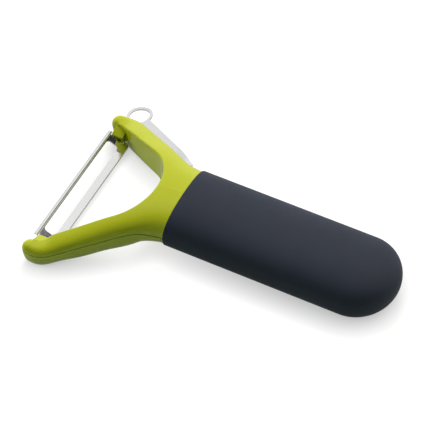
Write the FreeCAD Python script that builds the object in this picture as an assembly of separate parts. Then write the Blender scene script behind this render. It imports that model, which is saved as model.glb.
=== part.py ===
"""Vegetable peeler: a fork-shaped head with a swivelling slotted blade, an eye remover and a soft grip.

The peeler is drawn level in the handle's own frame, with x = 0 at the front edge of the grip, the head
towards -x, the butt towards +x and the eye remover on the +y arm. The last section tips it down onto
the table, where it rests on the butt and on the two arm tips, and puts the origin under the butt.
All lengths are in millimetres and all angles in degrees.
"""
import FreeCAD, Part
import math
import os

Vector = FreeCAD.Vector

# Grip
GRIP_LENGTH = 92.6
GRIP_WIDTH = 37.8
GRIP_THICKNESS = 18.5
BUTT_DEPTH = 17.0            # length of the rounded butt
SLEEVE_WALL = 1.8
SLEEVE_LIP_RADIUS = 0.6
REST_LAND_DEPTH = 0.3        # how far the table plane shaves the butt and the tips

# Tang inside the grip
SEAT_CLEARANCE = 0.05        # all round, where one fixed piece sits in another
TANG_WALL = 2.2
TANG_BULKHEAD = 4.0          # solid length behind the neck
RIB_THICKNESS = 1.6
RIB_COUNT = 4
SCREW_COUNT = 3
SCREW_SHANK_DIAMETER = 2.6
SCREW_HEAD_DIAMETER = 5.2
SCREW_HEAD_HEIGHT = 1.6
SCREW_ENGAGEMENT = 4.0       # length of the shank above the seam
SCREW_SOCKET_WIDTH = 2.0     # across the flats of the hexagon socket
SCREW_SOCKET_DEPTH = 1.0
BOSS_WALL = 1.8

# Neck and arms
NECK_STEP = 0.4              # the sleeve stands this much proud of the neck
FLARE_RADIUS = 22.0          # outer curve from the neck into the arm
ARM_WIDTH = 8.3
TIP_WIDTH = 6.8
TIP_BEND_SETBACK = 8.5       # from the blade's pivot back to where the tip starts to bend inwards
TIP_BEND_RADIUS = 16.0       # of the tip's outer side
TIP_BEND_ANGLE = 43.0
INNER_EDGE_ROUND = 0.8       # of the upper edge round the fork's opening
TIP_EDGE_ROUND = 1.1         # the same along the tip's inner side
CROTCH_DEPTH = 12.0          # from the front of the grip to the fork's inner curve
ARM_RISE_ROOT = 4.9          # top of the arm above the seam, at its root
ARM_RISE_END = 3.1           # the same where the tip starts to bend
ARM_RISE_TIP = 2.8           # and at the tip's round end
ARM_RISE_CURVE = 1.4         # above 1, the top falls slowly at first and faster towards the tip
ARM_DROP_ROOT = 8.8          # underside of the arm below the seam, at its root
ARM_DROP_TIP = 6.8           # the same at the tip
ARM_DROP_CURVE = 2.0         # above 1, most of the change comes near the tip
ARM_UNDERCUT = 0.5           # how far the lower side leans inwards
ROOT_BOTTOM_ROUND = 3.2      # width of the rounded lower edge at the arm's root
TIP_BOTTOM_ROUND = 2.5
ROOT_CROWN_WIDTH = 10.0      # width of the rounded top edge at the arm's root
END_CROWN_WIDTH = 6.0        # the same where the tip starts to bend
SEAM_LEVEL_REACH = 13.0      # from the front of the grip to where the seam turns down
SEAM_TIP_SETBACK = 2.5       # from the blade's pivot back to where the seam turns level again
SEAM_FALL = 11.6             # from the handle's axis down to the seam at the tips
SEAM_BEND_RADIUS = 20.0
GROOVE_WIDTH = 0.4           # parting groove along the seam on the outer sides
GROOVE_DEPTH = 0.3

# Lugs and blade
PIVOT_REACH = 46.5           # from the front of the grip to the blade's pivot
PIVOT_DROP = 1.2             # from the seam at the tips down to the blade's pivot
LUG_LENGTH = 4.0             # at the pivot, from the line of the arm's inner wall to the lug's end
LUG_WIDTH = 5.0
LUG_FACE_HEIGHT = 3.0
LUG_SLOPE = 24.0             # of the lug's top and underside
LUG_ROOT_DEPTH = 0.8         # how far the lug reaches into the arm
BUSH_DIAMETER = 2.2
BUSH_LENGTH = 3.0
RUNNING_CLEARANCE = 0.05     # all round, between the bush and its bore
BLADE_END_GAP = 0.35         # between the blade's notch and the lug's end
BLADE_LENGTH = 62.3
BLADE_WIDTH = 10.9
BLADE_SETBACK = 0.6          # the blade's middle lies this far behind its pivot, so its rear hangs down
BLADE_THICKNESS = 0.6
BLADE_REAR_CORNER = 2.0
REAR_CHAMFER = 0.3           # along the blade's rear edge, above
NOTCH_DEPTH = 1.3            # the lug stands in a notch in the blade's end
NOTCH_CLEARANCE = 0.25       # beside the lug at the ends of the swing
RAIL_RADIUS = 1.0            # outer radius of the rolled guide rail
SLOT_WIDTH = 5.4
SLOT_END_MARGIN = 4.2        # flat metal beyond each end of the slot
SLOT_CORNER_RADIUS = 1.5
EDGE_BEVEL_WIDTH = 3.0
EDGE_THICKNESS = 0.12
TONGUE_WIDTH = 3.4           # wide part of the tongue, which meets the stops
TONGUE_STOP_LENGTH = 1.3
TONGUE_TAIL_WIDTH = 1.3      # narrow part of the tongue, held in the bush
TONGUE_TAIL_LENGTH = 2.2
SWIVEL_EACH_WAY = 26.0
STOP_CLEARANCE = 0.08        # between the tongue and the stop at the end of its swing

# Eye remover
STRIP_THICKNESS = 0.9
STRIP_SEAT_WIDTH = 3.6       # part of the strip held inside the arm
STRIP_ROOT_OVERHANG = 2.2    # how far the strip stands out of the arm's line at its root
STRIP_TIP_OVERHANG = 3.6
STRIP_ROOT_REACH = 8.0       # from the front of the grip to the strip's root
STRIP_TIP_SETBACK = 4.5      # from the blade's pivot back to the strip's loop end
LOOP_OUTER_DIAMETER = 11.0
LOOP_BAND = 1.2
LOOP_SETBACK = 2.3           # from the blade's pivot back to the loop's centre
LOOP_OVERHANG = 1.8          # how far the loop's centre stands out of the arm's line
PEG_DIAMETER = 1.8
PEG_HEIGHT = 2.0             # above the seam
PEG_COUNT = 2

# Sections that the arm is drawn through, as shares of the length of its flare, straight part and tip
FLARE_SHARES = (0, 0.33, 0.67)
STRAIGHT_SHARES = (0, 0.25, 0.5, 0.75, 1)
TIP_SHARES = (0, 0.2, 0.4, 0.6, 0.8, 1)

TALL = 60.0                  # half the height of the cutting prisms, clear of the whole part
SAME_PLACE = 0.01            # lengths and places that differ by less than this count as the same

# Worked out from the driving dimensions
neck_half_width = GRIP_WIDTH / 2 - NECK_STEP
neck_half_height = GRIP_THICKNESS / 2 - NECK_STEP
blade_half_length = BLADE_LENGTH / 2
tongue_root = blade_half_length - NOTCH_DEPTH
lug_face_y = tongue_root + BLADE_END_GAP
wall_at_pivot = lug_face_y + LUG_LENGTH
flare_drop = neck_half_width + FLARE_RADIUS - wall_at_pivot
flare_reach = math.hypot(PIVOT_REACH, flare_drop)
# The arm's straight part is tangent to the flare and passes the lug at the pivot
arm_angle = math.asin((FLARE_RADIUS + ARM_WIDTH) / flare_reach) - math.atan2(flare_drop, PIVOT_REACH)
arm_along = Vector(-math.cos(arm_angle), math.sin(arm_angle), 0)
arm_outward = Vector(math.sin(arm_angle), math.cos(arm_angle), 0)
flare_length = FLARE_RADIUS * arm_angle
flare_end = Vector(-FLARE_RADIUS * math.sin(arm_angle),
                   neck_half_width + FLARE_RADIUS * (1 - math.cos(arm_angle)), 0)
straight_length = (PIVOT_REACH - TIP_BEND_SETBACK + flare_end.x) / math.cos(arm_angle)
straight_end = flare_end + arm_along * straight_length
tip_bend = math.radians(TIP_BEND_ANGLE)
tip_length = TIP_BEND_RADIUS * tip_bend
seam_tip_reach = PIVOT_REACH - SEAM_TIP_SETBACK
seam_slope = math.atan2(SEAM_FALL, seam_tip_reach - SEAM_LEVEL_REACH)
seam_bend_length = SEAM_BEND_RADIUS * math.tan(seam_slope / 2)
pivot = Vector(-PIVOT_REACH, 0, -SEAM_FALL - PIVOT_DROP)
swivel = math.radians(SWIVEL_EACH_WAY)


def bezier(*points):
    curve = Part.BezierCurve()
    curve.setPoles(list(points))
    return curve.toShape()


def closed_face(points):
    return Part.Face(Part.makePolygon(list(points) + [points[0]]))


def mirrored(shape):
    return shape.mirror(Vector(0, 0, 0), Vector(0, 1, 0))


def prism(points, low, high):
    """Upright prism on a plan outline of straight lines."""
    face = closed_face([Vector(x, y, low) for x, y in points])
    return face.extrude(Vector(0, 0, high - low))


def seam_height(x):
    """Height of the seam between the upper and lower mouldings: level, a slope and level again."""
    reach = -x
    bend_run = seam_bend_length * (1 + math.cos(seam_slope))
    past_first = reach - (SEAM_LEVEL_REACH - seam_bend_length)
    to_last = seam_tip_reach + seam_bend_length - reach
    if past_first <= 0:
        return 0
    if to_last <= 0:
        return -SEAM_FALL
    if past_first < bend_run:
        return math.sqrt(SEAM_BEND_RADIUS ** 2 - past_first ** 2) - SEAM_BEND_RADIUS
    if to_last < bend_run:
        return SEAM_BEND_RADIUS - math.sqrt(SEAM_BEND_RADIUS ** 2 - to_last ** 2) - SEAM_FALL
    return -(reach - SEAM_LEVEL_REACH) * math.tan(seam_slope)


def pebble(inset):
    """The grip's shape, made smaller by the inset: straight sides and a round butt, from x = 0."""
    half_width = GRIP_WIDTH / 2 - inset
    half_height = GRIP_THICKNESS / 2 - inset
    straight = GRIP_LENGTH - BUTT_DEPTH
    side = Vector(0, half_width, 0)
    top = Vector(0, 0, half_height)
    quarters = []
    corners = [side, top, -side, -top]
    for start, end in zip(corners, corners[1:] + corners[:1]):
        quarters.append(bezier(start, start + end, end))
    bar = Part.Face(Part.Wire(quarters)).extrude(Vector(straight, 0, 0))
    half_outline = [quarters[3], quarters[0], Part.makeLine(top, -top)]
    dome = Part.Face(Part.Wire(half_outline)).revolve(Vector(0, 0, 0), Vector(0, 0, 1), -180)
    stretch = FreeCAD.Matrix()
    stretch.A11 = (BUTT_DEPTH - inset) / half_width
    dome = dome.transformGeometry(stretch)
    dome.translate(Vector(straight, 0, 0))
    return bar.fuse(dome).removeSplitter()


def make_grip_sleeve():
    sleeve = pebble(0).cut(pebble(SLEEVE_WALL))
    lip = []
    for edge in sleeve.Edges:
        box = edge.BoundBox
        reach = max(abs(box.YMin), abs(box.YMax))
        if box.XMax < SAME_PLACE and reach > GRIP_WIDTH / 2 - SLEEVE_WALL / 2:
            lip.append(edge)
    return sleeve.makeFillet(SLEEVE_LIP_RADIUS, lip)


def between(start, end, share):
    return start + (end - start) * share


def arm_station(distance):
    """Section of the far half at a distance along the outer outline, as named sizes."""
    if distance < flare_length:
        turn = distance / FLARE_RADIUS
        crease = Vector(-FLARE_RADIUS * math.sin(turn),
                        neck_half_width + FLARE_RADIUS * (1 - math.cos(turn)), 0)
        share = turn / arm_angle
        rise = between(neck_half_height, ARM_RISE_ROOT, share)
        drop = between(neck_half_height, ARM_DROP_ROOT, share)
        crown = between(neck_half_width, ROOT_CROWN_WIDTH, share)
        lower = between(neck_half_width, ROOT_BOTTOM_ROUND, share)
        undercut = between(0, ARM_UNDERCUT, share)
    elif distance < flare_length + straight_length:
        turn = arm_angle
        run = distance - flare_length
        crease = flare_end + arm_along * run
        share = run / straight_length
        rise = between(ARM_RISE_ROOT, ARM_RISE_END, share ** ARM_RISE_CURVE)
        drop = between(ARM_DROP_ROOT, ARM_DROP_TIP, share ** ARM_DROP_CURVE)
        crown = between(ROOT_CROWN_WIDTH, END_CROWN_WIDTH, share)
        lower = between(ROOT_BOTTOM_ROUND, TIP_BOTTOM_ROUND, share)
        undercut = ARM_UNDERCUT
    else:
        share = (distance - flare_length - straight_length) / tip_length
        turn = arm_angle - tip_bend * share
        centre = straight_end - arm_outward * TIP_BEND_RADIUS
        crease = centre + Vector(math.sin(turn), math.cos(turn), 0) * TIP_BEND_RADIUS
        rise = between(ARM_RISE_END, ARM_RISE_TIP, share)
        drop = ARM_DROP_TIP
        crown = between(END_CROWN_WIDTH, TIP_WIDTH / 2, share)
        lower = TIP_BOTTOM_ROUND
        undercut = ARM_UNDERCUT
    crease.z = seam_height(crease.x)
    outward = Vector(math.sin(turn), math.cos(turn), 0)
    return crease, outward, rise, drop, crown, lower, undercut


def arm_section(distance, reach, inset, inner_round=0):
    """Closed outline of an arm section: rounded top, flat inner side, leaning lower side."""
    crease, outward, rise, drop, crown, lower, undercut = arm_station(distance)
    crease = crease - outward * inset
    reach = reach - inset
    crown = crown - inset
    if crown > reach - SAME_PLACE:
        crown = reach

    def at(inward, height):
        return crease - outward * inward + Vector(0, 0, height)

    edges = [bezier(crease, at(0, rise), at(crown, rise))]
    if reach > crown:
        edges.append(Part.makeLine(at(crown, rise), at(reach - inner_round, rise)))
    if inner_round > 0:
        edges.append(bezier(at(reach - inner_round, rise), at(reach, rise), at(reach, rise - inner_round)))
    edges.append(Part.makeLine(at(reach, rise - inner_round), at(reach, -drop)))
    edges.append(Part.makeLine(at(reach, -drop), at(lower, -drop)))
    edges.append(bezier(at(lower, -drop), at(undercut, -drop), crease))
    return Part.Wire(edges)


def far_arm(inset):
    """The +y half of the fork, before the opening is cut; it reaches past the centre plane."""
    distances = [flare_length * share for share in FLARE_SHARES]
    distances += [flare_length + straight_length * share for share in STRAIGHT_SHARES]
    sections = []
    for distance in distances:
        crease, outward = arm_station(distance)[:2]
        sections.append(arm_section(distance, crease.y / outward.y + NECK_STEP, inset))
    return Part.makeLoft(sections, True, False, False, 3)


def far_tip(inset):
    """The far arm's tip, which bends inwards, and its round end: half of the last section, turned."""
    start = flare_length + straight_length
    sections = []
    for share in TIP_SHARES:
        width = between(ARM_WIDTH, TIP_WIDTH, share)
        sections.append(arm_section(start + tip_length * share, width, inset, TIP_EDGE_ROUND))
    bend = Part.makeLoft(sections, True, False, False, 3)
    crease, outward = arm_station(start + tip_length)[:2]
    profile = Part.Face(arm_section(start + tip_length, TIP_WIDTH / 2, inset))
    nose = profile.revolve(crease - outward * (TIP_WIDTH / 2), Vector(0, 0, 1), 180)
    return bend.fuse(nose)


def far_groove():
    """Parting groove along the seam, on the outer side of the far arm and round its tip."""
    reach = PIVOT_REACH + ARM_WIDTH
    band = Part.makeBox(reach, 2 * TALL, 2 * TALL, Vector(-reach, 0, -TALL))
    band = band.common(seam_slab(GROOVE_WIDTH))
    return band.cut([far_arm(GROOVE_DEPTH), far_tip(GROOVE_DEPTH), far_lug()])


def fork_opening():
    """Upright prism between the arms: two straight walls joined by the fork's inner curve."""
    wall_start = flare_end - arm_outward * ARM_WIDTH
    radius = (arm_outward.x * (wall_start.x + CROTCH_DEPTH) + arm_outward.y * wall_start.y)
    radius = radius / (1 - arm_outward.x)
    centre = Vector(-CROTCH_DEPTH - radius, 0, -TALL)
    far_tangent = centre + arm_outward * radius
    near_tangent = Vector(far_tangent.x, -far_tangent.y, -TALL)
    apex = centre + Vector(radius, 0, 0)
    run = straight_length + TALL
    far_mouth = far_tangent + arm_along * run
    near_mouth = Vector(far_mouth.x, -far_mouth.y, -TALL)
    outline = Part.Wire([Part.Arc(near_tangent, apex, far_tangent).toShape(),
                         Part.makeLine(far_tangent, far_mouth),
                         Part.makeLine(far_mouth, near_mouth),
                         Part.makeLine(near_mouth, near_tangent)])
    return Part.Face(outline).extrude(Vector(0, 0, 2 * TALL))


def cut_fork_opening(half):
    """Cuts the fork's opening from half the fork and rounds its upper edge."""
    opening = fork_opening()
    half = half.cut(opening)
    upper_edges = []
    for edge in half.Edges:
        start = edge.Vertexes[0].Point
        middle = edge.valueAt((edge.FirstParameter + edge.LastParameter) / 2)
        end = edge.Vertexes[-1].Point
        gaps = [opening.distToShape(Part.Vertex(place))[0] for place in (start, middle, end)]
        on_wall = max(gaps) < SAME_PLACE
        steep = abs(start.z - end.z) > edge.Length / 2
        if on_wall and not steep and middle.z > seam_height(middle.x):
            upper_edges.append(edge)
    return half.makeFillet(INNER_EDGE_ROUND, upper_edges)


def far_lug():
    """Inward lug at the far tip, with a sloping top and underside, ending inside the arm's wall."""
    front = pivot.x - LUG_WIDTH / 2
    length = LUG_LENGTH + LUG_ROOT_DEPTH
    root_y = lug_face_y + length
    half_face = LUG_FACE_HEIGHT / 2
    half_root = half_face + math.tan(math.radians(LUG_SLOPE)) * length
    side = closed_face([Vector(front, lug_face_y, pivot.z + half_face),
                        Vector(front, root_y, pivot.z + half_root),
                        Vector(front, root_y, pivot.z - half_root),
                        Vector(front, lug_face_y, pivot.z - half_face)])
    return side.extrude(Vector(LUG_WIDTH, 0, 0))


def far_pivot_pocket():
    """Room in the far lug: a bow-tie mouth that stops the tongue, and the bush's bore behind it."""
    mouth_depth = TONGUE_STOP_LENGTH + STOP_CLEARANCE
    mouth_start = tongue_root
    half_width = TONGUE_WIDTH / 2 + STOP_CLEARANCE
    half_gap = BLADE_THICKNESS / 2 + STOP_CLEARANCE
    arm = half_width * math.cos(swivel)
    lift = half_width * math.sin(swivel)
    mouth = closed_face([pivot + Vector(0, mouth_start, 0),
                         pivot + Vector(arm, mouth_start, lift),
                         pivot + Vector(half_width / math.cos(swivel), mouth_start, 0),
                         pivot + Vector(arm, mouth_start, -lift)])
    mouth = mouth.extrude(Vector(0, mouth_depth, 0))
    other = mouth.copy()
    other.rotate(pivot, Vector(0, 1, 0), 180)
    pocket = mouth.fuse(other)
    for turn in (-SWIVEL_EACH_WAY, SWIVEL_EACH_WAY):
        swing = Part.makeBox(2 * half_width, mouth_depth, 2 * half_gap,
                             pivot + Vector(-half_width, mouth_start, -half_gap))
        swing.rotate(pivot, Vector(0, 1, 0), turn)
        pocket = pocket.fuse(swing)
    bore = Part.makeCylinder(BUSH_DIAMETER / 2 + RUNNING_CLEARANCE, BUSH_LENGTH + 2 * RUNNING_CLEARANCE,
                             pivot + Vector(0, mouth_start + mouth_depth, 0), Vector(0, 1, 0))
    return pocket.fuse(bore)


def below_seam():
    """Everything under the seam, as one prism across the part."""
    bend_run = seam_bend_length * (1 + math.cos(seam_slope))
    first = SEAM_LEVEL_REACH - seam_bend_length
    last = seam_tip_reach + seam_bend_length

    def on_seam(reach):
        return Vector(-reach, -2 * TALL, seam_height(-reach))

    def bend(start, end):
        return Part.Arc(on_seam(start), on_seam((start + end) / 2), on_seam(end)).toShape()

    back = Vector(GRIP_LENGTH + TALL, -2 * TALL, 0)
    front = Vector(-PIVOT_REACH - TALL, -2 * TALL, -SEAM_FALL)
    down = Vector(0, 0, -TALL)
    outline = Part.Wire([Part.makeLine(back, on_seam(first)),
                         bend(first, first + bend_run),
                         Part.makeLine(on_seam(first + bend_run), on_seam(last - bend_run)),
                         bend(last - bend_run, last),
                         Part.makeLine(on_seam(last), front),
                         Part.makeLine(front, front + down),
                         Part.makeLine(front + down, back + down),
                         Part.makeLine(back + down, back)])
    return Part.Face(outline).extrude(Vector(0, 4 * TALL, 0))


def screw_positions():
    """Places of the screws along the tang, evenly spread between the bulkhead and the butt."""
    span = GRIP_LENGTH - BUTT_DEPTH - TANG_BULKHEAD
    return [TANG_BULKHEAD + span * (index + 0.5) / SCREW_COUNT for index in range(SCREW_COUNT)]


def make_tang():
    """Hollow core of the grip with screw bosses and cross ribs, still in one with both mouldings."""
    skin_inset = SLEEVE_WALL + SEAT_CLEARANCE
    outer = pebble(skin_inset)
    hollow = pebble(skin_inset + TANG_WALL)
    hollow = hollow.cut(Part.makeBox(TANG_BULKHEAD, 2 * TALL, 2 * TALL, Vector(0, -TALL, -TALL)))
    span = GRIP_LENGTH - BUTT_DEPTH - TANG_BULKHEAD
    for index in range(RIB_COUNT):
        x = TANG_BULKHEAD + span * (index + 1) / RIB_COUNT
        rib = Part.makeBox(RIB_THICKNESS, 2 * TALL, 2 * TALL, Vector(x, -TALL, -TALL))
        hollow = hollow.cut(rib)
    boss_radius = SCREW_HEAD_DIAMETER / 2 + SEAT_CLEARANCE + BOSS_WALL
    for x in screw_positions():
        boss = Part.makeCylinder(boss_radius, 2 * TALL, Vector(x, 0, -TALL))
        hollow = hollow.cut(boss)
    return outer.cut(hollow)


def screw_head_seat():
    """Height of the face that the screw heads pull against."""
    skin = GRIP_THICKNESS / 2 - SLEEVE_WALL - SEAT_CLEARANCE
    return -skin + SCREW_HEAD_HEIGHT + SEAT_CLEARANCE


def make_screw(x, grow):
    """One screw, or with growth its hole."""
    seat = screw_head_seat()
    head = Part.makeCylinder(SCREW_HEAD_DIAMETER / 2 + grow, SCREW_HEAD_HEIGHT,
                             Vector(x, 0, seat - SCREW_HEAD_HEIGHT))
    shank = Part.makeCylinder(SCREW_SHANK_DIAMETER / 2 + grow, SCREW_ENGAGEMENT - seat + grow,
                              Vector(x, 0, seat))
    return head.fuse(shank)


def make_tang_screws():
    screws = []
    for x in screw_positions():
        start = Vector(x, 0, screw_head_seat() - SCREW_HEAD_HEIGHT)
        corners = []
        for corner in range(6):
            angle = math.radians(60 * corner)
            radius = SCREW_SOCKET_WIDTH / math.sqrt(3)
            corners.append(start + Vector(radius * math.cos(angle), radius * math.sin(angle), 0))
        socket = closed_face(corners).extrude(Vector(0, 0, SCREW_SOCKET_DEPTH))
        screws.append(make_screw(x, 0).cut(socket))
    return Part.makeCompound(screws)


def seam_slab(thickness):
    """Thin slab that follows the seam."""
    under = below_seam()
    over = below_seam()
    under.translate(Vector(0, 0, -thickness / 2))
    over.translate(Vector(0, 0, thickness / 2))
    return over.cut(under)


def crease_point(reach):
    """Point of the arm's outer outline, or its straight line onwards, at a distance before the grip."""
    return flare_end + arm_along * ((reach + flare_end.x) / math.cos(arm_angle))


def strip_pegs():
    """Places of the pegs that hold the strip, along the middle of its seat."""
    start = crease_point(STRIP_ROOT_REACH)
    end = crease_point(PIVOT_REACH - STRIP_TIP_SETBACK)
    inward = arm_outward * (STRIP_SEAT_WIDTH / 2)
    shares = [(index + 1) / (PEG_COUNT + 1) for index in range(PEG_COUNT)]
    return [start + (end - start) * share - inward for share in shares]


def make_eye_remover(grow):
    """Steel strip with a loop at the tip end; with growth, the room for it in the arm."""
    root = crease_point(STRIP_ROOT_REACH)
    tip = crease_point(PIVOT_REACH - STRIP_TIP_SETBACK)
    seat = arm_outward * (STRIP_SEAT_WIDTH + grow)
    outline = [root + arm_outward * STRIP_ROOT_OVERHANG - arm_along * grow,
               tip + arm_outward * STRIP_TIP_OVERHANG + arm_along * grow,
               tip - seat + arm_along * grow,
               root - seat - arm_along * grow]
    plate = prism([(point.x, point.y) for point in outline], -TALL, TALL)
    centre = crease_point(PIVOT_REACH - LOOP_SETBACK) + arm_outward * LOOP_OVERHANG + Vector(0, 0, -TALL)
    outer_radius = LOOP_OUTER_DIAMETER / 2 + grow
    inner_radius = LOOP_OUTER_DIAMETER / 2 - LOOP_BAND - grow
    plate = plate.fuse(Part.makeCylinder(outer_radius, 2 * TALL, centre))
    plate = plate.cut(Part.makeCylinder(inner_radius, 2 * TALL, centre))
    for place in strip_pegs():
        hole = Part.makeCylinder(PEG_DIAMETER / 2 + SEAT_CLEARANCE - grow, 2 * TALL,
                                 Vector(place.x, place.y, -TALL))
        plate = plate.cut(hole)
    return plate.common(seam_slab(STRIP_THICKNESS + 2 * grow))


def make_peg(place, grow):
    """Peg of the lower moulding, or with growth its socket in the upper one."""
    seam = seam_height(place.x)
    return Part.makeCylinder(PEG_DIAMETER / 2 + grow, 2 * PEG_HEIGHT + grow,
                             Vector(place.x, place.y, seam - PEG_HEIGHT))


def make_yoke():
    """The upper and lower mouldings: fork, lugs and tang, parted at the seam."""
    far_side = Part.makeBox(6 * TALL, 2 * TALL, 2 * TALL, Vector(-3 * TALL, 0, -TALL))
    half = cut_fork_opening(far_arm(0).common(far_side))
    half = half.fuse([far_tip(0), far_lug()]).cut(far_groove())
    half = half.fuse(make_tang().common(far_side))
    yoke = half.fuse(mirrored(half)).removeSplitter()
    pocket = far_pivot_pocket()
    yoke = yoke.cut([pocket, mirrored(pocket)])
    under = below_seam()
    room = make_eye_remover(SEAT_CLEARANCE)
    upper = yoke.cut([under, room])
    lower = yoke.common(under).cut(room)
    for x in screw_positions():
        hole = make_screw(x, SEAT_CLEARANCE)
        upper = upper.cut(hole)
        lower = lower.cut(hole)
    for place in strip_pegs():
        for side in (1, -1):
            spot = Vector(place.x, side * place.y, 0)
            lower = lower.fuse(make_peg(spot, 0))
            upper = upper.cut(make_peg(spot, SEAT_CLEARANCE))
    return upper, lower


def make_blade():
    """Slotted blade drawn flat about its pivot axis, then swung to its lower stop."""
    half_thickness = BLADE_THICKNESS / 2
    rear_x = BLADE_SETBACK + BLADE_WIDTH / 2
    rail_x = rear_x - BLADE_WIDTH + RAIL_RADIUS
    slot_front = rail_x + RAIL_RADIUS
    start = Vector(rail_x, -blade_half_length, -half_thickness)
    along = Vector(0, 1, 0)
    sheet = Part.makeBox(rear_x - rail_x, BLADE_LENGTH, BLADE_THICKNESS, start)
    rail = Part.makeCylinder(RAIL_RADIUS, BLADE_LENGTH, start, along)
    upper_half = Part.makeBox(2 * RAIL_RADIUS, BLADE_LENGTH, RAIL_RADIUS, start - Vector(RAIL_RADIUS, 0, 0))
    blade = sheet.fuse(rail.common(upper_half))
    blade = blade.cut(Part.makeCylinder(RAIL_RADIUS - BLADE_THICKNESS, BLADE_LENGTH, start, along))
    blade = blade.cut(slot_cutter(slot_front))
    blade = blade.cut(edge_bevel(slot_front + SLOT_WIDTH))
    corners = []
    for edge in blade.Edges:
        box = edge.BoundBox
        at_rear = box.XMin > rear_x - SAME_PLACE
        at_end = abs(box.YMax) > blade_half_length - SAME_PLACE and box.YLength < SAME_PLACE
        if at_rear and at_end:
            corners.append(edge)
    blade = blade.makeFillet(BLADE_REAR_CORNER, corners)
    blade = blade.cut(rear_bevel(rear_x))
    notch_half_width = (LUG_WIDTH / 2 + NOTCH_CLEARANCE) / math.cos(swivel)
    notch_half_width += half_thickness * math.tan(swivel)
    for side in (1, -1):
        notch_y = tongue_root if side > 0 else -blade_half_length
        blade = blade.cut(Part.makeBox(2 * notch_half_width, NOTCH_DEPTH, 4 * RAIL_RADIUS,
                                       Vector(-notch_half_width, notch_y, -2 * RAIL_RADIUS)))
        for width, reach in ((TONGUE_WIDTH, TONGUE_STOP_LENGTH),
                             (TONGUE_TAIL_WIDTH, TONGUE_STOP_LENGTH + TONGUE_TAIL_LENGTH)):
            inner = side * (tongue_root - (SLOT_END_MARGIN - NOTCH_DEPTH) / 2)
            outer = side * (tongue_root + reach)
            blade = blade.fuse(Part.makeBox(width, abs(outer - inner), BLADE_THICKNESS,
                                            Vector(-width / 2, min(inner, outer), -half_thickness)))
    return swing(blade.removeSplitter())


def slot_cutter(front):
    """Slot with rounded corners, from its front lip backwards."""
    half_run = blade_half_length - SLOT_END_MARGIN
    depth = 2 * SLOT_WIDTH
    cutter = Part.makeBox(SLOT_WIDTH, 2 * half_run, depth, Vector(front, -half_run, -depth / 2))
    corners = [edge for edge in cutter.Edges if edge.BoundBox.ZLength > SLOT_WIDTH]
    return cutter.makeFillet(SLOT_CORNER_RADIUS, corners)


def edge_bevel(lip):
    """Wedge that grinds the slot's rear lip down to the cutting edge, from above."""
    half_thickness = BLADE_THICKNESS / 2
    half_run = blade_half_length - SLOT_END_MARGIN - SLOT_CORNER_RADIUS
    face = closed_face([Vector(lip, -half_run, -half_thickness + EDGE_THICKNESS),
                        Vector(lip + EDGE_BEVEL_WIDTH, -half_run, half_thickness),
                        Vector(lip, -half_run, half_thickness)])
    return face.extrude(Vector(0, 2 * half_run, 0))


def rear_bevel(rear):
    """Wedge that takes the upper corner off the blade's rear edge."""
    top = BLADE_THICKNESS / 2
    face = closed_face([Vector(rear, -blade_half_length, top - REAR_CHAMFER),
                        Vector(rear, -blade_half_length, top),
                        Vector(rear - REAR_CHAMFER, -blade_half_length, top)])
    return face.extrude(Vector(0, BLADE_LENGTH, 0))


def swing(piece):
    """Carries a piece drawn about the pivot axis to its place, with the blade on its lower stop."""
    piece.rotate(Vector(0, 0, 0), Vector(0, 1, 0), SWIVEL_EACH_WAY)
    piece.translate(pivot)
    return piece


def make_pivot_bush(side):
    """Round bush with a slot that grips the blade's tongue."""
    start = tongue_root + TONGUE_STOP_LENGTH + STOP_CLEARANCE + RUNNING_CLEARANCE
    bush = Part.makeCylinder(BUSH_DIAMETER / 2, BUSH_LENGTH, Vector(0, start, 0), Vector(0, 1, 0))
    tail_end = tongue_root + TONGUE_STOP_LENGTH + TONGUE_TAIL_LENGTH + SEAT_CLEARANCE
    half_width = TONGUE_TAIL_WIDTH / 2 + SEAT_CLEARANCE
    half_thickness = BLADE_THICKNESS / 2 + SEAT_CLEARANCE
    slot = Part.makeBox(2 * half_width, tail_end - start, 2 * half_thickness,
                        Vector(-half_width, start, -half_thickness))
    bush = bush.cut(slot)
    return swing(bush if side > 0 else mirrored(bush))


def stand_on_table(pieces):
    """Tips the level peeler onto the table, shaves the rest lands and puts the origin under the butt."""
    butt_x = GRIP_LENGTH - BUTT_DEPTH
    tip_underside = SEAM_FALL + ARM_DROP_TIP
    pitch = math.atan2(tip_underside - GRIP_THICKNESS / 2, butt_x + seam_tip_reach)
    touch = Vector(butt_x, 0, -GRIP_THICKNESS / 2)
    for shape in pieces.values():
        shape.translate(-touch)
        shape.rotate(Vector(0, 0, 0), Vector(0, 1, 0), math.degrees(pitch))
        shape.translate(Vector(0, 0, -REST_LAND_DEPTH))
    floor = Part.makeBox(8 * TALL, 4 * TALL, TALL, Vector(-6 * TALL, -2 * TALL, -TALL))
    for name in ("grip_sleeve", "yoke_lower"):
        pieces[name] = pieces[name].cut(floor)
    lands = [face for face in pieces["grip_sleeve"].Faces if face.BoundBox.ZMax < SAME_PLACE]
    for shape in pieces.values():
        shape.translate(Vector(-lands[0].CenterOfMass.x, 0, 0))
    return pieces


yoke_upper, yoke_lower = make_yoke()
pieces = stand_on_table({
    "yoke_upper": yoke_upper,
    "yoke_lower": yoke_lower,
    "grip_sleeve": make_grip_sleeve(),
    "tang_screws": make_tang_screws(),
    "eye_remover": make_eye_remover(0),
    "blade": make_blade(),
    "near_pivot_bush": make_pivot_bush(-1),
    "far_pivot_bush": make_pivot_bush(1),
})

os.makedirs("parts", exist_ok=True)
for name, shape in pieces.items():
    shape.exportStep("parts/" + name + ".step")
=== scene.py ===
"""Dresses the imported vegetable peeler: procedural materials, a white studio table, lamps and the camera."""
import bpy
import math
from mathutils import Matrix, Vector

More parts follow.
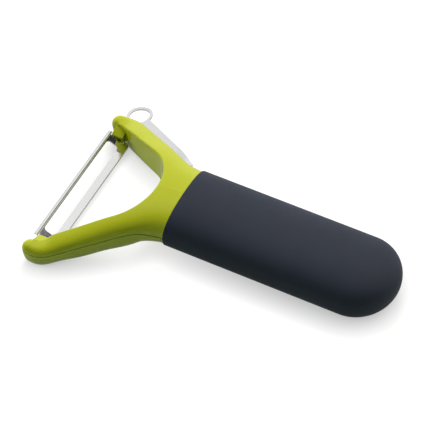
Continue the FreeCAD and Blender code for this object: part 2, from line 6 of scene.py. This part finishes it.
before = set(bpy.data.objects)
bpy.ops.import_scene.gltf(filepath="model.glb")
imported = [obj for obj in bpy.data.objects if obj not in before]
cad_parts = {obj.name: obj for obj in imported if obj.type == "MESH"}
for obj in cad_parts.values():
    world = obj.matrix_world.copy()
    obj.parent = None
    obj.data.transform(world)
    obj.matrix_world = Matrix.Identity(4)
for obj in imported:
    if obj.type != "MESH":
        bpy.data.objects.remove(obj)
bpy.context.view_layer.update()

# Camera, in metres and degrees; the picture is square
CAMERA_POSITION = Vector((0.239821, -0.517983, 0.674282))
CAMERA_AZIMUTH = 30.483
CAMERA_ELEVATION = 47.525
CAMERA_ROLL = -4.996
CAMERA_CLIP = (0.01, 10)
CAMERA_LENS = 192.93         # millimetres, as is the sensor's width
CAMERA_SENSOR = 36

# Colours, linear
WHITE = (1, 1, 1, 1)
WARM_WHITE = (1, 0.965, 0.91)
LIME = (0.405, 0.442, 0.006, 1)
LIME_DEEP = (0.392, 0.430, 0.005, 1)
CHARCOAL = (0.030, 0.036, 0.055, 1)
CHARCOAL_DEEP = (0.027, 0.032, 0.049, 1)
STEEL = (0.84, 0.84, 0.85, 1)
STEEL_DARK = (0.79, 0.79, 0.80, 1)
ACETAL = (0.78, 0.78, 0.74, 1)
ACETAL_DARK = (0.70, 0.70, 0.66, 1)

PLASTIC_IOR = 1.5
NOISE_SPAN = (0.3, 0.7)      # the part of a noise's range that colours and roughness are spread over

# Ground strip behind the blade's slot, in metres in the part's frame
GROUND_STRIP_FRONT = -0.1234
GROUND_STRIP_HALF_LENGTH = 0.0272
GROUND_STRIP_FADE = 0.0004
GROUND_STRIP_ROUGHNESS = 0.12    # added to the roughness of the polish

# Table, in metres; it lies a hair below the part, so that no faces coincide
TABLE_HALF = 1.5
TABLE_LEVEL = -0.0001
TABLE_SEEN = 0.2             # grey that carries the shadow in the picture, under the table's glow
TABLE_MIRRORED = 0.24        # grey that shows in reflections
TABLE_BOUNCE = (0.64, 0.75, 0.66, 1)     # tint of the soft light that the table throws back
MIRRORED_GLOW = 0.28         # the table's glow in reflections
SHADOW_REACH = 0.010         # metres from the part at which the painted contact shadow ends
SHADOW_GLOW = 0.36           # the table's glow in the picture, in full painted contact shadow
OPEN_GLOW = 0.60             # what is added to that where no painted shadow falls

# Soft light on the part, from above and behind; it fades to the shade's colour at the edge
SOFT_LIGHT = Vector((0.18, 0.78, 0.60))
SOFT_LIGHT_EDGE = 0.52       # cosine of the angle from the light's middle
SOFT_LIGHT_STRENGTH = 2.3
SHADE = (0.03, 0.05, 0.04, 1)

# Greys of the surround that polished pieces mirror, at heights given as the sine of the elevation:
# a white backdrop, a dark gap above it and a white ceiling
SURROUND_STOPS = (
    (0.0, 0.15), (0.06, 0.9), (0.38, 1.0), (0.48, 0.04), (0.71, 0.02), (0.735, 0.95), (1.0, 1.0),
)
# The gap is closed by a grey towards the head, at low X, and opens towards the butt
GAP_CLOSED = -0.10
GAP_OPEN = 0.25
GAP_CLOSED_GREY = 0.8
# The surround is dimmer in front of the part, at low Y
DIM_FRONT = 0.0
FULL_BACK = 0.35
DIM_FRONT_STRENGTH = 0.25

# Square soft lamps: name, place and size in metres, power in watts
LAMPS = (
    ("key", (-0.30, 0.78, 0.65), 0.35, 7.5),
    ("side", (-0.97, -0.10, 0.26), 0.5, 4.5),
)
LAMP_TARGET = Vector((-0.06, 0, 0.01))


def grey(level):
    """Opaque grey."""
    return (level, level, level, 1)


def add_node(tree, kind, inputs=(), **settings):
    """New node; its inputs, by name or number, are linked to an output or set to a value."""
    node = tree.nodes.new(kind)
    for name, value in settings.items():
        setattr(node, name, value)
    for key, value in dict(inputs).items():
        if isinstance(value, bpy.types.NodeSocket):
            tree.links.new(value, node.inputs[key])
        else:
            node.inputs[key].default_value = value
    return node


def add_math(tree, operation, *values):
    """Result of a Math node; each value is a number or an output."""
    return add_node(tree, "ShaderNodeMath", enumerate(values), operation=operation).outputs[0]


def add_range(tree, value, start, end, low=0.0, high=1.0):
    """Maps a value between start and end to one between low and high, and no further."""
    inputs = {"Value": value, "From Min": start, "From Max": end, "To Min": low, "To Max": high}
    return add_node(tree, "ShaderNodeMapRange", inputs).outputs["Result"]


def add_ramp(tree, factor, stops):
    """Blends colours by a factor; a stop is a position and a colour."""
    ramp = add_node(tree, "ShaderNodeValToRGB", {"Fac": factor})
    elements = ramp.color_ramp.elements
    elements[0].position, elements[0].color = stops[0]
    elements[1].position, elements[1].color = stops[-1]
    for position, colour in stops[1:-1]:
        elements.new(position).color = colour
    return ramp.outputs["Color"]


def add_mix(tree, factor, first, second):
    """Shader that is the first where the factor is 0 and the second where it is 1."""
    return add_node(tree, "ShaderNodeMixShader", {0: factor, 1: first, 2: second}).outputs["Shader"]


def add_diffuse(tree, colour):
    """Matt shader."""
    return add_node(tree, "ShaderNodeBsdfDiffuse", {"Color": colour}).outputs["BSDF"]


def add_rays(tree):
    """Two factors: rays that make the picture, and rays that make reflections or pass through glass."""
    rays = add_node(tree, "ShaderNodeLightPath").outputs
    mirrored = add_math(tree, "MAXIMUM", rays["Is Glossy Ray"], rays["Is Transmission Ray"])
    return rays["Is Camera Ray"], mirrored


def add_noise(tree, scale, detail, axis_scale=(1, 1, 1)):
    """Noise in the part's own frame; scale is in features per metre, times axis_scale along each axis."""
    place = add_node(tree, "ShaderNodeTexCoord")
    mapping = add_node(tree, "ShaderNodeMapping", {"Vector": place.outputs["Object"], "Scale": axis_scale})
    inputs = {"Vector": mapping.outputs["Vector"], "Scale": scale, "Detail": detail}
    return add_node(tree, "ShaderNodeTexNoise", inputs).outputs["Fac"]


def add_bump(tree, shader, height, strength, distance):
    """Bump on a shader; distance in metres."""
    inputs = {"Height": height, "Strength": strength, "Distance": distance}
    bump = add_node(tree, "ShaderNodeBump", inputs)
    tree.links.new(bump.outputs["Normal"], shader.inputs["Normal"])


def new_material(name):
    """Node material; returns it with its node tree and its Principled shader."""
    material = bpy.data.materials.new(name)
    material.use_nodes = True
    tree = material.node_tree
    return material, tree, tree.nodes["Principled BSDF"]


def vary_colour(tree, shader, noise, dark, light):
    """Spreads a noise over two colours."""
    stops = tuple(zip(NOISE_SPAN, (dark, light)))
    tree.links.new(add_ramp(tree, noise, stops), shader.inputs["Base Color"])


def vary_roughness(tree, shader, noise, low, high):
    """Spreads a noise over a span of roughness."""
    tree.links.new(add_range(tree, noise, *NOISE_SPAN, low, high), shader.inputs["Roughness"])


def glossy_plastic(name):
    """Glossy moulding: faint flow marks in the colour, slight unevenness in the polish."""
    material, tree, shader = new_material(name)
    flow = add_noise(tree, scale=45, detail=3, axis_scale=(1, 1.6, 1))
    vary_colour(tree, shader, flow, dark=LIME_DEEP, light=LIME)
    polish = add_noise(tree, scale=160, detail=4)
    vary_roughness(tree, shader, polish, low=0.09, high=0.14)
    peel = add_noise(tree, scale=900, detail=2)
    add_bump(tree, shader, peel, strength=0.05, distance=0.0002)
    shader.inputs["IOR"].default_value = PLASTIC_IOR
    shader.inputs["Specular IOR Level"].default_value = 0.4
    return material


def soft_touch(name):
    """Soft grip: fine spark-eroded grain and a satin sheen."""
    material, tree, shader = new_material(name)
    cloud = add_noise(tree, scale=60, detail=4)
    vary_colour(tree, shader, cloud, dark=CHARCOAL_DEEP, light=CHARCOAL)
    wear = add_noise(tree, scale=220, detail=5)
    vary_roughness(tree, shader, wear, low=0.42, high=0.54)
    grain = add_noise(tree, scale=4500, detail=2)
    add_bump(tree, shader, grain, strength=0.12, distance=0.00006)
    shader.inputs["IOR"].default_value = PLASTIC_IOR
    shader.inputs["Specular IOR Level"].default_value = 0.12
    return material


def ground_steel(name, axis_scale, low, high):
    """Steel with fine grinding marks, drawn out along an axis of low scale; low and high are roughness."""
    material, tree, shader = new_material(name)
    marks = add_noise(tree, scale=1500, detail=6, axis_scale=axis_scale)
    vary_colour(tree, shader, marks, dark=STEEL_DARK, light=STEEL)
    vary_roughness(tree, shader, marks, low, high)
    add_bump(tree, shader, marks, strength=0.10, distance=0.00004)
    shader.inputs["Metallic"].default_value = 1.0
    return material


def blade_steel(name):
    """Polished steel with marks across the blade, and a rougher ground strip behind the slot."""
    material = ground_steel(name, axis_scale=(0.12, 1, 1), low=0.05, high=0.09)
    tree = material.node_tree
    place = add_node(tree, "ShaderNodeTexCoord")
    split = add_node(tree, "ShaderNodeSeparateXYZ", {"Vector": place.outputs["Object"]})
    behind = add_range(tree, split.outputs["X"], GROUND_STRIP_FRONT, GROUND_STRIP_FRONT + GROUND_STRIP_FADE)
    out = add_math(tree, "ABSOLUTE", split.outputs["Y"])
    within = add_range(tree, out, GROUND_STRIP_HALF_LENGTH, GROUND_STRIP_HALF_LENGTH - GROUND_STRIP_FADE)
    strip = add_math(tree, "MULTIPLY", behind, within)
    roughness = tree.nodes["Principled BSDF"].inputs["Roughness"]
    polish = roughness.links[0].from_socket
    tree.links.new(add_math(tree, "MULTIPLY_ADD", strip, GROUND_STRIP_ROUGHNESS, polish), roughness)
    return material


def bush_plastic(name):
    """Pale bearing plastic, a little cloudy."""
    material, tree, shader = new_material(name)
    cloud = add_noise(tree, scale=400, detail=3)
    vary_colour(tree, shader, cloud, dark=ACETAL_DARK, light=ACETAL)
    vary_roughness(tree, shader, cloud, low=0.4, high=0.5)
    return material


def dress(node, material):
    """Gives a CAD node's slots one material."""
    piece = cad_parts[node]
    for slot in piece.material_slots:
        slot.material = material


def make_floor():
    """White table, much wider than the picture; a painted contact shadow dims its glow where the part comes
    close.
    """
    low, high = -TABLE_HALF, TABLE_HALF
    outline = ((low, low), (high, low), (high, high), (low, high))
    mesh = bpy.data.meshes.new("floor")
    mesh.from_pydata([(x, y, TABLE_LEVEL) for x, y in outline], [], [(0, 1, 2, 3)])
    floor = bpy.data.objects.new("floor", mesh)
    bpy.context.scene.collection.objects.link(floor)

    material, tree, default_shader = new_material("white_table")
    tree.nodes.remove(default_shader)
    seen, mirrored = add_rays(tree)
    bounce = add_diffuse(tree, TABLE_BOUNCE)
    unseen = add_mix(tree, mirrored, bounce, add_diffuse(tree, grey(TABLE_MIRRORED)))
    surface = add_mix(tree, seen, unseen, add_diffuse(tree, grey(TABLE_SEEN)))
    # Painted contact shadow: the glow that the camera sees is dimmed by ambient occlusion where the part is
    # near
    painted_contact_shadow = add_node(tree, "ShaderNodeAmbientOcclusion", {"Distance": SHADOW_REACH})
    glow_with_painted_shadow = add_math(tree, "MULTIPLY_ADD", painted_contact_shadow.outputs["AO"], OPEN_GLOW, SHADOW_GLOW)
    mirrored_glow = add_math(tree, "MULTIPLY", mirrored, MIRRORED_GLOW)
    strength = add_math(tree, "MULTIPLY_ADD", seen, glow_with_painted_shadow, mirrored_glow)
    glow = add_node(tree, "ShaderNodeEmission", {"Color": WHITE, "Strength": strength})
    both = add_node(tree, "ShaderNodeAddShader", {0: surface, 1: glow.outputs["Emission"]})
    tree.links.new(both.outputs["Shader"], tree.nodes["Material Output"].inputs["Surface"])
    mesh.materials.append(material)


def make_world():
    """Soft light from behind, a surround that only reflections show, and a white backdrop in the picture."""
    world = bpy.data.worlds.new("studio")
    bpy.context.scene.world = world
    world.use_nodes = True
    tree = world.node_tree
    tree.nodes.remove(tree.nodes["Background"])
    towards = add_node(tree, "ShaderNodeTexCoord").outputs["Generated"]

    inputs = {0: towards, 1: SOFT_LIGHT}
    facing = add_node(tree, "ShaderNodeVectorMath", inputs, operation="DOT_PRODUCT")
    light_stops = ((SOFT_LIGHT_EDGE, SHADE), (1.0, WARM_WHITE + (1,)))
    light_colour = add_ramp(tree, facing.outputs["Value"], light_stops)
    inputs = {"Color": light_colour, "Strength": SOFT_LIGHT_STRENGTH}
    light = add_node(tree, "ShaderNodeBackground", inputs)

    split = add_node(tree, "ShaderNodeSeparateXYZ", {"Vector": towards})
    stops = tuple((height, grey(level)) for height, level in SURROUND_STOPS)
    bands = add_ramp(tree, split.outputs["Z"], stops)
    filling = add_range(tree, split.outputs["X"], GAP_CLOSED, GAP_OPEN, GAP_CLOSED_GREY, 0.0)
    inputs = {
        "Color": add_math(tree, "MAXIMUM", bands, filling),
        "Strength": add_range(tree, split.outputs["Y"], DIM_FRONT, FULL_BACK, DIM_FRONT_STRENGTH, 1.0),
    }
    surround = add_node(tree, "ShaderNodeBackground", inputs)

    seen, mirrored = add_rays(tree)
    unseen = add_mix(tree, mirrored, light.outputs["Background"], surround.outputs["Background"])
    backdrop = add_node(tree, "ShaderNodeBackground", {"Color": WHITE})
    shown = add_mix(tree, seen, unseen, backdrop.outputs["Background"])
    tree.links.new(shown, tree.nodes["World Output"].inputs["Surface"])


def make_lamp(name, place, size, power):
    """Lamp aimed at the part, which reflections don't show."""
    lamp = bpy.data.lights.new(name, "AREA")
    lamp.shape = "SQUARE"
    lamp.size = size
    lamp.energy = power
    lamp.color = WARM_WHITE
    holder = bpy.data.objects.new(name, lamp)
    bpy.context.scene.collection.objects.link(holder)
    holder.location = place
    holder.visible_glossy = False
    aim = LAMP_TARGET - Vector(place)
    holder.rotation_euler = aim.to_track_quat("-Z", "Y").to_euler()


def make_camera():
    """Camera turned by its azimuth, then tilted down by its elevation, then rolled."""
    azimuth = math.radians(CAMERA_AZIMUTH)
    elevation = math.radians(CAMERA_ELEVATION)
    roll = math.radians(CAMERA_ROLL)
    level = Vector((math.cos(azimuth), math.sin(azimuth), 0))
    ahead = Vector((-math.sin(azimuth), math.cos(azimuth), 0))
    forward = ahead * math.cos(elevation) - Vector((0, 0, math.sin(elevation)))
    upright = ahead * math.sin(elevation) + Vector((0, 0, math.cos(elevation)))
    right = level * math.cos(roll) + upright * math.sin(roll)
    up = upright * math.cos(roll) - level * math.sin(roll)
    turn = Matrix((right, up, -forward)).transposed()
    camera = bpy.data.cameras.new("camera")
    camera.lens = CAMERA_LENS
    camera.sensor_width = CAMERA_SENSOR
    camera.clip_start, camera.clip_end = CAMERA_CLIP
    holder = bpy.data.objects.new("camera", camera)
    bpy.context.scene.collection.objects.link(holder)
    holder.matrix_world = Matrix.Translation(CAMERA_POSITION) @ turn.to_4x4()
    bpy.context.scene.camera = holder


dress("yoke_upper", glossy_plastic("lime_upper"))
dress("yoke_lower", glossy_plastic("lime_lower"))
dress("grip_sleeve", soft_touch("soft_grip"))
dress("blade", blade_steel("blade_steel"))
dress("eye_remover", ground_steel("loop_steel", axis_scale=(1, 1, 1), low=0.14, high=0.20))
dress("tang_screws", ground_steel("screw_steel", axis_scale=(1, 1, 0.2), low=0.25, high=0.4))
bush_material = bush_plastic("bush_plastic")
dress("near_pivot_bush", bush_material)
dress("far_pivot_bush", bush_material)

make_floor()
make_world()
for lamp_settings in LAMPS:
    make_lamp(*lamp_settings)
make_camera()
bpy.context.scene.view_settings.view_transform = "Standard"
